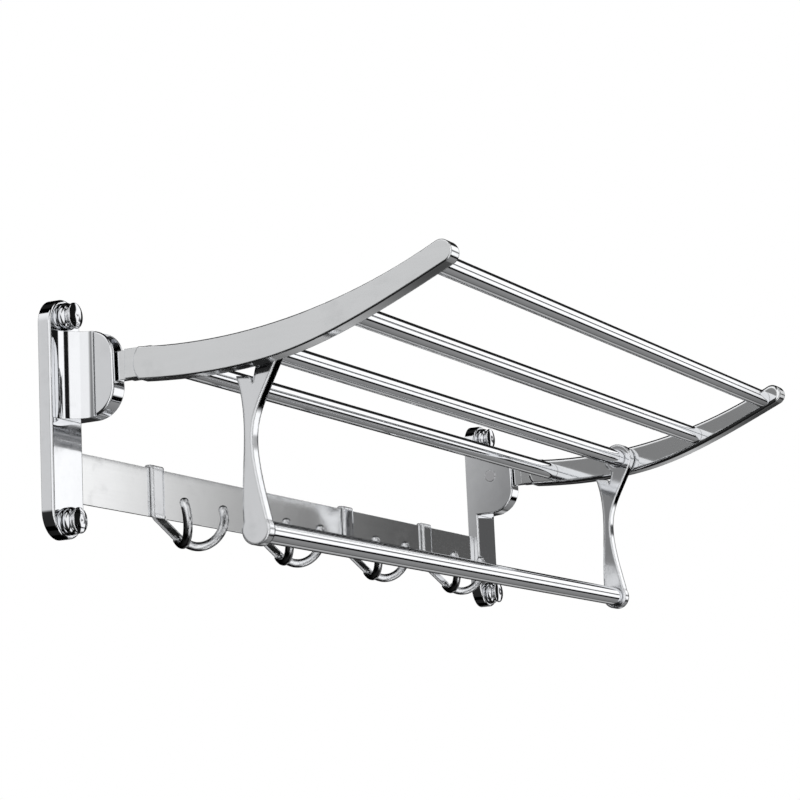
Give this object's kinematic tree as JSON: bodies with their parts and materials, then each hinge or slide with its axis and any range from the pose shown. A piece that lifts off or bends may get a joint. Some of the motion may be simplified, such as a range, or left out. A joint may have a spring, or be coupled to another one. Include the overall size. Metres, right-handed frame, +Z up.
{
  "type": "towel rack",
  "caption": "Wall-mounted chrome folding towel shelf with round bars between curved arms, a hanging towel rail beneath and sliding double hooks.",
  "frame": {"origin": "on the wall, midway between the four wall screw holes", "axes": "+X along the wall to the right seen from the room, +Y into the wall, +Z up; the rack reaches out along -Y"},
  "size_m": [0.6, 0.2499, 0.1509],
  "materials": {
    "chrome": "bright chrome plating on zinc castings, polished, with soft edges",
    "tube_chrome": "bright chrome plated tube with fine lengthwise polishing marks",
    "strip_chrome": "chrome plated flat strip, fine lengthwise grain",
    "pin_steel": "turned steel, satin",
    "plug_steel": "plain turned steel, hidden",
    "washer_nylon": "black nylon, matte"
  },
  "bodies": {
    "wall_frame": {"base_left": "chrome", "base_right": "chrome", "hinge_pin_left": "pin_steel", "hinge_pin_right": "pin_steel", "hinge_washers_left": "washer_nylon", "hinge_washers_right": "washer_nylon", "cap_upper_left": "chrome", "cap_upper_right": "chrome", "cap_lower_left": "chrome", "cap_lower_right": "chrome", "hook_strip": "strip_chrome", "strip_screws_left": "pin_steel", "strip_screws_right": "pin_steel"},
    "shelf": {"arm_left": "chrome", "arm_right": "chrome", "shelf_bar_1": "tube_chrome", "shelf_bar_2": "tube_chrome", "shelf_bar_3": "tube_chrome", "shelf_bar_4": "tube_chrome", "bar_plugs_left": "plug_steel", "bar_plugs_right": "plug_steel", "collar_left": "washer_nylon", "collar_right": "washer_nylon"},
    "rail": {"rail_bracket_left": "chrome", "rail_bracket_right": "chrome", "towel_rail": "tube_chrome"},
    "double_hook_1": {"hook_1": "chrome"},
    "double_hook_2": {"hook_2": "chrome"},
    "double_hook_3": {"hook_3": "chrome"},
    "double_hook_4": {"hook_4": "chrome"}
  },
  "joints": [
    {"name": "shelf_fold", "type": "hinge", "parent": "wall_frame", "child": "shelf", "pos_m": [0, -0.02, 0.0276], "axis": [-1, 0, 0], "range_deg": [0, 80]},
    {"name": "rail_swing", "type": "hinge", "parent": "shelf", "child": "rail", "pos_m": [0, -0.126, 0.0284], "axis": [1, 0, 0], "range_deg": [0, 60]},
    {"name": "hook_1_slide", "type": "slide", "parent": "wall_frame", "child": "double_hook_1", "axis": [1, 0, 0], "range_m": [-0.035, 0.035]},
    {"name": "hook_2_slide", "type": "slide", "parent": "wall_frame", "child": "double_hook_2", "axis": [1, 0, 0], "range_m": [-0.035, 0.035]},
    {"name": "hook_3_slide", "type": "slide", "parent": "wall_frame", "child": "double_hook_3", "axis": [1, 0, 0], "range_m": [-0.035, 0.035]},
    {"name": "hook_4_slide", "type": "slide", "parent": "wall_frame", "child": "double_hook_4", "axis": [1, 0, 0], "range_m": [-0.035, 0.035]}
  ]
}
